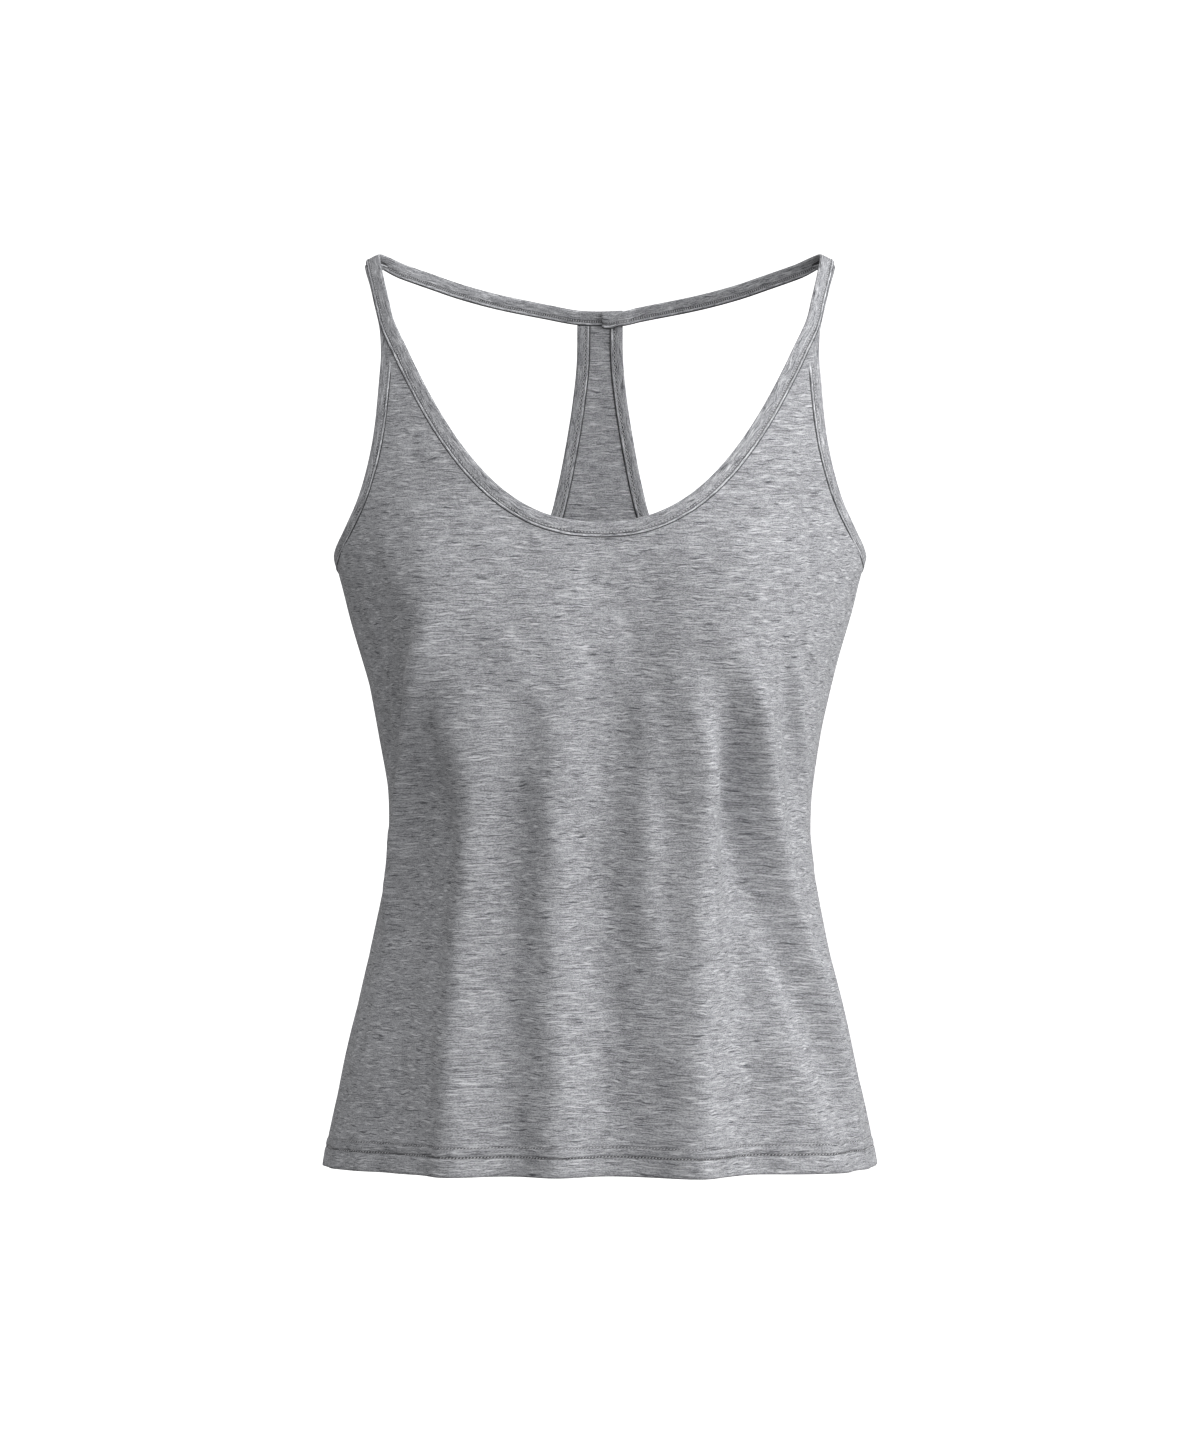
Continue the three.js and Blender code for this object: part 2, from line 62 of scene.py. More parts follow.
# The worn form. At each height: half width, depth before and behind the sides, and squareness,
# where 2 is an ellipse.
bodyForm = {
    "height": [-592, -530, -470, -430, -400, -373, -345, -310, -275, -237, -207, -190, -150, -100,
               -60, -30],
    "halfWidth": [180.3, 167.3, 153.4, 144.4, 139.2, 136.9, 138.2, 143.5, 150.9, 161.4, 169.8,
                  173.6, 175, 173, 169, 167],
    "front": [113, 108, 104, 102.5, 102.5, 103.5, 106, 110, 113.5, 115, 112.5, 109.5, 101, 85, 66,
              50],
    "back": [114, 104, 92, 85, 81, 80, 82, 86, 91, 96, 99, 99.5, 96, 86, 74, 62],
    "square": [2.2, 2.2, 2.2, 2.2, 2.2, 2.2, 2.2, 2.25, 2.3, 2.3, 2.3, 2.3, 2.3, 2.3, 2.3, 2.3],
    "hemHeight": -589.4,
    "hemSwing": 0.03,  # how far a fold that stands out by 1 lowers the hem
    "meanRadius": 150,  # turns angles into lengths round the body
}

# Soft folds: where each starts and is full, and where it fades and ends (None if it reaches the
# hem), its spread in degrees, its relief, and its path as (height, angle). Angles run round the
# body: 0 is the centre front, 90 the right side, 180 the centre back.
softFolds = [
    (-140, -220, -300, -380, 12, 15, [(-140, -37), (-380, -36)]),
    (-150, -230, -300, -380, 12, 8, [(-150, 35), (-380, 33)]),
    (-150, -230, -300, -380, 16, -11, [(-150, 6), (-380, 6)]),
    (-262, -380, None, None, 6, 11,
     [(-260, -24), (-350, -33), (-430, -34), (-510, -32), (-590, -29)]),
    (-262, -360, None, None, 6, -6,
     [(-260, -18), (-350, -22.5), (-430, -22.5), (-510, -21), (-590, -19)]),
    (-262, -380, None, None, 5.5, 5,
     [(-260, -12.5), (-350, -13), (-430, -12), (-510, -10), (-590, -8.5)]),
    (-240, -400, None, None, 8, -9, [(-240, 2), (-590, 2.5)]),
    (-270, -320, -430, -500, 4.5, 5, [(-270, 12), (-500, 12)]),
    (-240, -350, None, None, 6.5, 13,
     [(-260, 21.5), (-350, 26), (-430, 24), (-510, 20.5), (-590, 18)]),
    (-250, -320, None, None, 6.5, -9,
     [(-260, 29.5), (-350, 37), (-430, 38), (-510, 36), (-590, 34)]),
    (-280, -340, -500, -620, 5, -8,
     [(-280, 28), (-350, 38), (-430, 46.5), (-467, 49.5), (-510, 52.5), (-590, 59)]),
    (-235, -300, -500, -620, 4.5, 12,
     [(-235, 29), (-260, 32), (-350, 47), (-430, 54.5), (-467, 57), (-510, 61), (-590, 68)]),
    (-400, -520, None, None, 8, 8, [(-400, 50), (-590, 53)]),
    (-280, -330, -480, -560, 6, -4, [(-280, 51), (-350, 62), (-430, 70), (-560, 74)]),
    (-360, -450, None, None, 9, -5, [(-360, -52), (-430, -53), (-590, -50)]),
    (-215, -270, -370, -470, 4, 12,
     [(-240, -34), (-276, -41), (-314, -48.5), (-353, -56), (-430, -67), (-470, -70)]),
    (-410, -520, None, None, 5, 6, [(-410, 108), (-590, 107)]),
    (-265, -370, None, None, 7, -7, [(-265, 125), (-430, 119), (-590, 117)]),
    (-250, -360, None, None, 6.5, 10, [(-250, 141), (-350, 137), (-590, 131)]),
    (-260, -380, None, None, 6, -8, [(-260, 153), (-430, 149), (-590, 146)]),
    (-270, -400, -500, -585, 6, 6, [(-270, 163), (-585, 158)]),
    (-245, -390, None, None, 8, -9, [(-245, 176), (-590, 173)]),
    (-290, -400, None, None, 7.5, 11, [(-290, 188), (-430, 187), (-590, 189)]),
    (-280, -370, None, None, 6, -7, [(-280, 199), (-430, 201), (-590, 204)]),
    (-250, -350, None, None, 7, 11, [(-250, 209), (-350, 214), (-590, 217)]),
    (-260, -340, None, None, 7, -9, [(-260, 221), (-350, 229), (-590, 232)]),
    (-235, -310, None, None, 5.5, 8,
     [(-235, 224), (-290, 233), (-350, 242), (-430, 247), (-590, 248)]),
    (-230, -290, -370, -440, 5, 8, [(-230, 136), (-440, 100)]),
]

# Narrow creases: heights from top to bottom with the crease's angle at each, its spread in
# degrees and its relief. Each fades at both ends, and near a bound edge.
fineCreases = [
    {"height": [-220, -240, -257, -283, -308, -340, -380],
     "angle": [32.5, 35, 37.5, 42, 48, 55.5, 65], "spread": 1.8, "relief": 2.6},
    {"height": [-226, -250, -270, -302, -340, -366],
     "angle": [38, 42, 46, 52.5, 63, 69], "spread": 2.4, "relief": -3.0},
    {"height": [-216, -240, -257, -282, -308, -340, -364],
     "angle": [41, 45, 48, 53.5, 60, 71, 77], "spread": 1.9, "relief": 4.2},
    {"height": [-225, -251, -271, -300], "angle": [49, 54, 60.5, 70], "spread": 1.8, "relief": 2.4},
    {"height": [-235, -262, -290, -314, -353, -391, -430, -480],
     "angle": [-41, -44, -47, -50, -57, -64, -66, -64], "spread": 2.2, "relief": 4.2},
    {"height": [-262, -290, -330, -370], "angle": [-37, -40, -43, -45],
     "spread": 2.6, "relief": -1.6},
    {"height": [-420, -470, -520, -575], "angle": [-66, -64, -64.5, -66],
     "spread": 2.8, "relief": 1.8},
    {"height": [-232, -262, -300], "angle": [-54, -61, -73], "spread": 2.2, "relief": -1.2},
    {"height": [-245, -300, -360], "angle": [-52, -66, -80], "spread": 2.4, "relief": -1.3},
    {"height": [-102, -126, -158], "angle": [41, 37.5, 32], "spread": 1.5, "relief": -1.1},
    {"height": [-116, -134, -165], "angle": [47.5, 45, 41], "spread": 1.5, "relief": 0.8},
    {"height": [-188, -207, -236], "angle": [63, 62, 63.5], "spread": 1.6, "relief": -1.3},
    {"height": [-176, -215, -256], "angle": [-56, -62, -77], "spread": 1.8, "relief": -1.2},
    {"height": [-158, -176, -215, -262], "angle": [-5.5, -4, -3, -2], "spread": 2.2, "relief": -0.9},
    {"height": [-205, -240, -300], "angle": [11, 13.5, 18], "spread": 2.4, "relief": -1.0},
    {"height": [-192, -225, -262, -305], "angle": [7, 8, 8, 9], "spread": 7, "relief": -1.1},
    {"height": [-192, -225, -262, -305], "angle": [21, 21, 22, 24], "spread": 6, "relief": 1.2},
    {"height": [-192, -230, -280], "angle": [-72, -72, -74], "spread": 2.0, "relief": 0.9},
    {"height": [-96, -130, -150], "angle": [-46, -44, -43], "spread": 1.4, "relief": 0.5},
    {"height": [-212, -280, -350], "angle": [128, 118, 108], "spread": 2.6, "relief": 1.6},
    {"height": [-225, -300, -380], "angle": [146, 131, 114], "spread": 2.4, "relief": 1.4},
    {"height": [-214, -275, -340], "angle": [236, 245, 256], "spread": 2.4, "relief": 1.6},
    {"height": [-228, -305, -372], "angle": [218, 232, 248], "spread": 2.6, "relief": 1.5},
    {"height": [-150, -205, -265], "angle": [180, 179, 177], "spread": 2.2, "relief": -0.9},
    {"height": [-118, -150, -190, -240], "angle": [184, 185, 185.5, 184],
     "spread": 2.4, "relief": 3.6},
]


# A smooth curve through values given at rising places: a cubic between each two, with each place's
# slope taken from those beside it.
def cubicThrough(at, value, place):
    before = np.maximum(np.arange(len(at)) - 1, 0)
    after = np.minimum(np.arange(len(at)) + 1, len(at) - 1)
    slope = (value[after] - value[before]) / (at[after] - at[before])
    held = np.clip(place, at[0], at[-1])
    i = np.clip(np.searchsorted(at, held, side="left") - 1, 0, len(at) - 2)
    span = at[i + 1] - at[i]
    t = (held - at[i]) / span
    return (value[i] * (1 + 2 * t) * (1 - t) ** 2 + slope[i] * span * t * (1 - t) ** 2
            + value[i + 1] * t * t * (3 - 2 * t) - slope[i + 1] * span * t * t * (1 - t))


def formValue(column, height):
    return cubicThrough(np.array(bodyForm["height"], float), np.array(bodyForm[column], float), height)


# The folds' relief: the sum of relief * exp(-(angle away / spread)^2) * how far the fold has grown
# * how little it has faded.
def foldRelief(angle, height):
    relief = np.zeros(np.broadcast(angle, height).shape)
    for starts, full, fades, ends, spread, depth, path in softFolds:
        levels, angles = np.array(path[::-1], float).T
        away = angle - cubicThrough(levels, angles, height)
        away = away - 360 * np.round(away / 360)
        strength = smooth((starts - height) / (starts - full))
        if ends is not None:
            strength = strength * smooth((height - ends) / (fades - ends))
        relief += depth * np.exp(-((away / spread) ** 2)) * strength
    return relief


# The creases' relief, as the folds' but along a bent line, with sin^2 strength.
def creaseRelief(angle, height):
    relief = np.zeros(np.broadcast(angle, height).shape)
    for crease in fineCreases:
        levels = np.array(crease["height"], float)[::-1]
        angles = np.array(crease["angle"], float)[::-1]
        away = angle - cubicThrough(levels, angles, height)
        away = away - 360 * np.round(away / 360)
        along = np.clip((height - levels[0]) / (levels[-1] - levels[0]), 0, 1)
        strength = np.sin(np.pi * along) ** 2
        relief += crease["relief"] * np.exp(-((away / crease["spread"]) ** 2)) * strength
    return relief


# Slight unevenness of hanging jersey: a sum of sine waves with seeded directions and phases.
def unevenness(angle, height):
    draw = np.random.default_rng(11)
    relief = np.zeros(np.broadcast(angle, height).shape)
    around = np.radians(angle) * bodyForm["meanRadius"]
    for size in (0.34, 0.3, 0.26, 0.2, 0.16, 0.12, 0.1):
        length = draw.uniform(24, 90)
        tall = length * draw.uniform(1.4, 3.2)
        lean = draw.uniform(-0.35, 0.35)
        phase = draw.uniform(0, 2 * np.pi)
        waves = (around + lean * height) / length + height / tall
        relief += size * np.sin(2 * np.pi * waves + phase)
    return relief


# A point of the form, pushed out by a relief: the superellipse |x/width|^n + |y/depth|^n = 1.
def formPoint(angle, height, relief):
    width = formValue("halfWidth", height)
    square = formValue("square", height)
    turned = np.radians(angle)
    depth = np.where(np.cos(turned) >= 0, formValue("front", height), formValue("back", height))
    turn = np.arctan2(width * np.sin(turned), depth * np.cos(turned))
    total = np.abs(np.sin(turn) / width) ** square + np.abs(np.cos(turn) / depth) ** square
    radius = total ** (-1 / square) + relief
    return vector(radius * np.sin(turn), -radius * np.cos(turn), height)


# The cloth's outer face with its folds alone, and that face's outward normal.
def outerPoint(angle, height):
    return formPoint(angle, height, foldRelief(angle, height))


def outwardNormal(angle, height):
    across = outerPoint(angle + 0.4, height) - outerPoint(angle - 0.4, height)
    up = outerPoint(angle, height + 1.0) - outerPoint(angle, height - 1.0)
    return unit(np.cross(across, up))


def clothPoint(angle, height, depth):
    return outerPoint(angle, height) - outwardNormal(angle, height) * depth


# The angle at which the form passes under a point.
def chartAngle(point):
    x, y, z = point[..., 0], point[..., 1], point[..., 2]
    depth = np.where(y <= 0, formValue("front", z), formValue("back", z))
    angle = np.degrees(np.arctan2(x / formValue("halfWidth", z), -y / depth))
    return np.where(angle < -90, angle + 360, angle)


# The edges of the openings

neckEdge = {
    "low": -176.5, "rise": 0.0010015, "power": 2.415, "reach": 124, "places": 16,
    "tapeWidth": 9.2, "lift": 1.25,
    "joinStart": 15, "joinOverlap": 14, "joinRamp": 10, "joinDrop": 2.3, "joinSag": 1.5,
    "strapFrom": -86, "strapRamp": 22,  # heights over which the tape rises onto the strap
    "backFrom": 25, "backRamp": 15,  # and depths over which it comes down again behind
}

armEdge = {
    "tapeWidth": 8.0, "showing": 3.0, "tail": 5, "drawIn": 3.4,
    "angle": [53.1, 52.5, 52.3, 52.9, 54.8, 58.6, 65, 76, 90, 105, 122, 139, 152, 160.5, 165.8,
              168.8, 170.7, 172.4, 173.9, 174.8, 174.9],
    "height": [-65, -78, -98, -118, -139, -160, -176.5, -190.5, -197, -201.5, -206.5, -209, -206,
               -197.5, -184, -168.7, -147.4, -121, -92, -65, -40.2],
}

# The neck edge over the shoulder and along the back strap: x, y, z and the outward normal.
strapLine = np.array([
    (132.1, -42, -44.7, 0.48, -0.85, 0.2), (135.4, -36, -31.4, 0.55, -0.78, 0.3),
    (139.6, -24, -14.3, 0.6, -0.6, 0.53), (141.9, -12, -4.2, 0.52, -0.32, 0.79),
    (142, 0, -0.5, 0.42, 0, 0.91), (137, 10.5, -1.2, 0.38, 0.5, 0.78),
    (127, 20, -4.5, 0.36, 0.85, 0.4), (109, 33, -9.6, 0.46, 0.86, 0.26),
    (90, 43, -15.4, 0.4, 0.88, 0.24), (66, 52, -21.3, 0.27, 0.93, 0.24),
    (34.4, 59.4, -27.3, 0.12, 0.94, 0.31), (14, 62, -30.9, 0.04, 0.94, 0.34),
])
strapMiddle = np.array([0, 62.4, -31.4, 0, 0.94, 0.34])
clothThickness = 1.2


# A smooth curve through points, sampled at t: the centripetal Catmull-Rom cubic.
def curveThrough(points, t):
    padded = np.vstack([2 * points[0] - points[1], points, 2 * points[-1] - points[-2]])
    i = np.clip(np.floor(t * (len(points) - 1)).astype(int), 0, len(points) - 2)
    weight = (t * (len(points) - 1) - i)[:, None]
    a, b, c, d = padded[i], padded[i + 1], padded[i + 2], padded[i + 3]
    before, here, after = (np.linalg.norm(q - p, axis=1, keepdims=True) ** 0.5
                           for p, q in ((a, b), (b, c), (c, d)))
    leave = ((b - a) / before - (c - a) / (before + here) + (c - b) / here) * here
    arrive = ((c - b) / here - (d - b) / (here + after) + (d - c) / after) * here
    w2, w3 = weight ** 2, weight ** 3
    return (b * (2 * w3 - 3 * w2 + 1) + leave * (w3 - 2 * w2 + weight)
            + c * (3 * w2 - 2 * w3) + arrive * (w3 - w2))


# Stations at even steps along a path of (point, normal) rows: point, tangent, the direction across
# the tape (tangent x normal), the squared-up normal, and the distance along.
def framesAlong(path, step):
    t = np.linspace(0, 1, len(path) * 60)
    fine = curveThrough(path[:, :3], t)
    length = np.concatenate([[0], np.cumsum(np.linalg.norm(np.diff(fine, axis=0), axis=1))])
    count = int(round(length[-1] / step))
    place = np.linspace(0, length[-1], count + 1)
    at = np.interp(place, length, t)
    point = curveThrough(path[:, :3], at)
    nudge = 1e-4
    tangent = unit(curveThrough(path[:, :3], np.minimum(at + nudge, 1))
                   - curveThrough(path[:, :3], np.maximum(at - nudge, 0)))
    across = unit(np.cross(tangent, curveThrough(path[:, 3:], at)))
    return {"point": point, "tangent": tangent, "across": across,
            "normal": np.cross(across, tangent), "place": place}


# Rows of (point, normal) on the middle of the cloth, facing as the cloth does half a tape further.
def placesOnCloth(angle, height, towards):
    point = clothPoint(angle, height, clothThickness / 2)
    middle = point + towards
    normal = outwardNormal(chartAngle(middle), middle[:, 2])
    return np.hstack([point, normal])


# The front neck edge: height = low + rise * |x|^power, lying on the front of the form.
def neckPlaces(x):
    reach = np.abs(x)
    height = neckEdge["low"] + neckEdge["rise"] * reach ** neckEdge["power"]
    width, depth = formValue("halfWidth", height), formValue("front", height)
    square = formValue("square", height)
    y = -depth * (1 - (reach / width) ** square) ** (1 / square)
    slope = neckEdge["rise"] * neckEdge["power"] * reach ** (neckEdge["power"] - 1) * np.sign(x)
    half = neckEdge["tapeWidth"] / 2 / np.hypot(1, slope)
    return placesOnCloth(chartAngle(vector(x, y, height)), height, vector(slope * half, 0, -half))


def strapPlaces(side):
    rows = strapLine.copy()
    rows[:, 3:] = unit(rows[:, 3:])
    rows[:, [0, 3]] *= side
    return rows


# How far out the neck tape lies: on the strap it covers the armhole tape.
def strapShare(point):
    rising = smooth((point[:, 2] - neckEdge["strapFrom"]) / neckEdge["strapRamp"])
    return rising * (1 - smooth((point[:, 1] - neckEdge["backFrom"]) / neckEdge["backRamp"]))


def neckFrames(step):
    reach = neckEdge["reach"] * (np.arange(neckEdge["places"]) + 1) / neckEdge["places"]
    leftSide = np.vstack([neckPlaces(-reach), strapPlaces(-1)])[::-1]
    rightSide = np.vstack([neckPlaces(reach), strapPlaces(1)])
    start = strapPlaces(1)[-1:].copy()
    start[0, 0] = neckEdge["joinStart"]
    middle = strapMiddle[None].copy()
    middle[:, 3:] = unit(middle[:, 3:])
    end = middle.copy()
    end[0, 0] = neckEdge["joinStart"] - neckEdge["joinOverlap"]
    path = np.vstack([start, middle, leftSide, neckPlaces(np.zeros(1)), rightSide, end])
    return framesAlong(path, step)


def neckLift(frames):
    rampStart = frames["place"][-1] - neckEdge["joinOverlap"] - neckEdge["joinRamp"]
    overlap = smooth((frames["place"] - rampStart) / neckEdge["joinRamp"])
    return neckEdge["lift"] * strapShare(frames["point"]) - neckEdge["joinDrop"] * overlap


def armFrames(side, step):
    reach = neckEdge["reach"] * (np.arange(neckEdge["places"]) + 1) / neckEdge["places"]
    neckSide = framesAlong(np.vstack([neckPlaces(reach[-3:]), strapPlaces(1)]), 1.0)
    rows = strapLine[:armEdge["tail"] + 1][::-1]
    nearest = np.linalg.norm(neckSide["point"][None] - rows[:, None, :3], axis=2).argmin(axis=1)
    beside = neckEdge["tapeWidth"] + armEdge["showing"]
    onStrap = np.hstack([neckSide["point"][nearest] + neckSide["across"][nearest] * beside,
                         neckSide["normal"][nearest]])
    angle, height = np.array(armEdge["angle"], float), np.array(armEdge["height"], float)
    after = np.minimum(np.arange(len(angle)) + 1, len(angle) - 1)
    before = np.maximum(np.arange(len(angle)) - 1, 0)
    tangent = outerPoint(angle[after], height[after]) - outerPoint(angle[before], height[before])
    across = unit(np.cross(tangent, outwardNormal(angle, height))) * armEdge["tapeWidth"] / 2
    across[:, 0] *= side
    onCloth = placesOnCloth(side * angle, height, across)
    if side > 0:
        return framesAlong(np.vstack([onStrap, onCloth]), step)
    onStrap[:, [0, 3]] *= -1
    return framesAlong(np.vstack([onStrap, onCloth])[::-1], step)


def armLift(frames):
    return -neckEdge["lift"] * strapShare(frames["point"])


tapeStep = 1.8
neckLine = neckFrames(tapeStep)
armLines = {"right": armFrames(1, tapeStep), "left": armFrames(-1, tapeStep)}
print("edges laid out: neck", round(neckLine["place"][-1]), "mm, armholes",
      round(armLines["right"]["place"][-1]), "mm each")


# Meshes

# A mesh object from points in millimetres, four-cornered faces and their corners' (u, v) in metres.
# The optional per-point values are painted shade: by what share of its tone the cloth is painted
# darker beside sewing, along the hem and in the tapes' grooves, and painted lighter as a highlight
# where they are negative.
def meshObject(name, points, faces, cornerMap, material, paintedShade=None):
    mesh = bpy.data.meshes.new(name)
    mesh.from_pydata((points * mm).tolist(), [], faces.tolist())
    mesh.uv_layers.new(name="cloth").data.foreach_set("uv", cornerMap.reshape(-1).astype(np.float32))
    mesh.polygons.foreach_set("use_smooth", np.ones(len(faces), bool))
    if paintedShade is not None:
        # Painted shade and painted highlight, kept as a point attribute for the material.
        paintedShadeLayer = mesh.attributes.new("paintedShade", "FLOAT", "POINT")
        paintedShadeLayer.data.foreach_set("value", paintedShade.astype(np.float32))
    mesh.materials.append(material)
    piece = bpy.data.objects.new(name, mesh)
    bpy.context.scene.collection.objects.link(piece)
    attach(piece, "root")
    return piece


# The faces of a grid of rows x columns points, listed row by row.
def gridFaces(rows, columns, closed=False):
    steps = columns if closed else columns - 1
    r, c = np.meshgrid(np.arange(rows - 1), np.arange(steps), indexing="ij")
    right = (c + 1) % columns
    corners = [r * columns + c, r * columns + right,
               (r + 1) * columns + right, (r + 1) * columns + c]
    return np.stack(corners, axis=-1).reshape(-1, 4)


def thicken(piece, thickness):
    wall = piece.modifiers.new("wall", "SOLIDIFY")
    wall.thickness = thickness * mm
    wall.offset = 0.0
    wall.use_rim = True
    wall.use_even_offset = False


# Materials

jerseyLook = {
    "dark": (0.085, 0.087, 0.096), "middle": (0.338, 0.341, 0.358), "light": (0.700, 0.705, 0.725),
    "streakLength": 0.0080, "streakHeight": 0.00075, "grain": 0.0005, "roughness": 0.88,
    "sheen": 0.12, "bump": 0.5,
    "sway": 0.004,  # how far the courses wander
    "lightRange": (0.53, 0.66), "lightShare": 0.76, "darkRange": (0.54, 0.65), "darkShare": 0.95,
    "cloudTone": (0.88, 1.12), "grainTone": (0.50, 1.50),
}


# A node of a kind with its settings, its inputs set or linked by name or place.
def addNode(tree, kind, settings=None, **inputs):
    node = tree.nodes.new(kind)
    for key, value in (settings or {}).items():
        setattr(node, key, value)
    for key, value in inputs.items():
        socket = node.inputs[int(key[1:])] if key[0] == "i" and key[1:].isdigit() else node.inputs[key]
        if isinstance(value, bpy.types.NodeSocket):
            tree.links.new(value, socket)
        else:
            socket.default_value = value
    return node


def calc(tree, operation, first, second=0.0, third=0.0):
    node = addNode(tree, "ShaderNodeMath", {"operation": operation}, i0=first, i1=second, i2=third)
    return node.outputs[0]


# A noise stretched along the cloth: `length` long and `tall` high, in metres.
def clothNoise(tree, u, v, length, tall, detail, roughness, place):
    at = addNode(tree, "ShaderNodeCombineXYZ", None, X=calc(tree, "MULTIPLY", u, 1 / length),
                 Y=calc(tree, "MULTIPLY", v, 1 / tall), Z=place)
    return addNode(tree, "ShaderNodeTexNoise", {"noise_dimensions": "3D"}, Vector=at.outputs[0],
                   Scale=1.0, Detail=detail, Roughness=roughness).outputs["Fac"]


def ramp(tree, value, stops):
    node = addNode(tree, "ShaderNodeValToRGB", None, Fac=value)
    colours = node.color_ramp
    while len(colours.elements) < len(stops):
        colours.elements.new(0.5)
    for element, (at, shade) in zip(colours.elements, stops):
        element.position = at
        element.color = (*(shade if isinstance(shade, tuple) else (shade,) * 3), 1.0)
    return node.outputs["Color"]


# Heather jersey: light and dark fibres drawn out along the courses, over fine grain, with painted
# shade and painted highlight taken from a point attribute.
def heather(name, shade=1.0, seed=0.0, look=jerseyLook):
    material = bpy.data.materials.new(name)
    material.use_nodes = True
    tree = material.node_tree
    tree.nodes.clear()
    place = addNode(tree, "ShaderNodeUVMap", {"uv_map": "cloth"}).outputs["UV"]
    apart = addNode(tree, "ShaderNodeSeparateXYZ", None, Vector=place)
    u, level = apart.outputs["X"], apart.outputs["Y"]
    sway = clothNoise(tree, u, level, 0.013, 0.008, 2.0, 0.5, seed + 3.1)
    wander = calc(tree, "MULTIPLY", calc(tree, "SUBTRACT", sway, 0.5), look["sway"])
    v = calc(tree, "ADD", level, wander)
    length, tall = look["streakLength"], look["streakHeight"]
    lightStreak = clothNoise(tree, u, v, length, tall, 3.0, 0.6, seed + 1.7)
    darkStreak = clothNoise(tree, u, v, length * 1.25, tall * 0.75, 3.0, 0.6, seed + 9.2)
    clouds = clothNoise(tree, u, v, 0.030, 0.004, 3.0, 0.5, seed + 5.5)
    grain = clothNoise(tree, u, level, look["grain"] * 1.7, look["grain"], 2.0, 0.6, seed + 7.3)
    lightShare = ramp(tree, lightStreak, list(zip(look["lightRange"], (0.0, 1.0))))
    darkShare = ramp(tree, darkStreak, list(zip(look["darkRange"], (0.0, 1.0))))
    tone = [tuple(shade * c for c in look[key]) for key in ("dark", "middle", "light")]
    clouded = [tuple(share * c for c in tone[1]) for share in look["cloudTone"]]
    cloudy = ramp(tree, clouds, list(zip((0.30, 0.70), clouded)))
    grainy = ramp(tree, grain, list(zip((0.30, 0.70), look["grainTone"])))
    base = addNode(tree, "ShaderNodeMix", {"data_type": "RGBA", "blend_type": "MULTIPLY"}, i0=1.0,
                   i6=cloudy, i7=grainy).outputs[2]
    withLight = addNode(tree, "ShaderNodeMix", {"data_type": "RGBA"},
                        i0=calc(tree, "MULTIPLY", lightShare, look["lightShare"]), i6=base,
                        i7=(*tone[2], 1.0)).outputs[2]
    mottled = addNode(tree, "ShaderNodeMix", {"data_type": "RGBA"},
                      i0=calc(tree, "MULTIPLY", darkShare, look["darkShare"]), i6=withLight,
                      i7=(*tone[0], 1.0)).outputs[2]
    # Painted shade: the point attribute darkens the colour by its share, and lightens it as a painted
    # highlight where negative.
    paintedShade = addNode(tree, "ShaderNodeAttribute", {"attribute_name": "paintedShade"}).outputs["Fac"]
    colour = addNode(tree, "ShaderNodeMix", {"data_type": "RGBA", "blend_type": "MULTIPLY"}, i0=1.0,
                     i6=mottled, i7=calc(tree, "SUBTRACT", 1.0, paintedShade)).outputs[2]
    rough = calc(tree, "ADD", calc(tree, "MULTIPLY", grain, 0.6),
                 calc(tree, "MULTIPLY", lightStreak, 0.8))
    bump = addNode(tree, "ShaderNodeBump", None, Strength=look["bump"], Distance=0.0004, Height=rough)
    shader = addNode(tree, "ShaderNodeBsdfPrincipled", None, Roughness=look["roughness"])
    tree.links.new(colour, shader.inputs["Base Color"])
    tree.links.new(bump.outputs[0], shader.inputs["Normal"])
    shader.inputs["Sheen Weight"].default_value = look["sheen"]
    shader.inputs["Sheen Roughness"].default_value = 0.45
    shader.inputs["Specular IOR Level"].default_value = 0.25
    out = addNode(tree, "ShaderNodeOutputMaterial")
    tree.links.new(shader.outputs[0], out.inputs["Surface"])
    return material


# Sewing thread: plain grey with the twist of its plies as a fine noise mottle.
def threadMaterial(name, colour):
    material = bpy.data.materials.new(name)
    material.use_nodes = True
    tree = material.node_tree
    shader = tree.nodes["Principled BSDF"]
    place = addNode(tree, "ShaderNodeTexCoord").outputs["Object"]
    ply = addNode(tree, "ShaderNodeTexNoise", None, Vector=place, Scale=2600.0, Detail=1.0)
    shades = ramp(tree, ply.outputs["Fac"], [(0.3, tuple(0.7 * c for c in colour)),
                                             (0.7, tuple(1.25 * c for c in colour))])
    tree.links.new(shades, shader.inputs["Base Color"])
    shader.inputs["Roughness"].default_value = 0.6
    shader.inputs["Sheen Weight"].default_value = 0.15
    return material


jersey = heather("heatherJersey", 1.0, 0.0)
tapeCloth = heather("heatherTape", 0.96, 40.0)
thread = threadMaterial("greyThread", (0.56, 0.563, 0.58))
print("materials ready")


# The panels

panelMake = {
    "columns": 196, "rows": 158, "rowsAtHem": 44, "hemZone": 27.0,
    "sheet": 0.8, "middleDepth": 0.5, "foldRadius": 0.55, "foldRows": 5,
    "hemTurn": 19.0, "turnRows": 9, "underTape": 4.2,
    # Stitch rows: heights, pull, spread, and the painted shade along each row.
    "stitchHeights": (12.0, 18.0), "stitchPull": 0.5, "stitchSpread": 1.1, "stitchPaintedShade": (0.80, 0.45),
    "narrowAbove": -190.0, "flatBesideTape": 14, "creasesGrowOver": 26,
    "hemSwell": 0.45, "swellTop": 17.5, "swellFade": 2.5, "seamPull": 0.8, "seamSpread": 0.9,
    "pucker": 0.11, "puckerHeight": 9, "puckerReach": 10, "puckerRadius": 165,
    "neckTapeBelow": -36, "armTapePast": 12,  # which stations of the tapes bound a panel
}

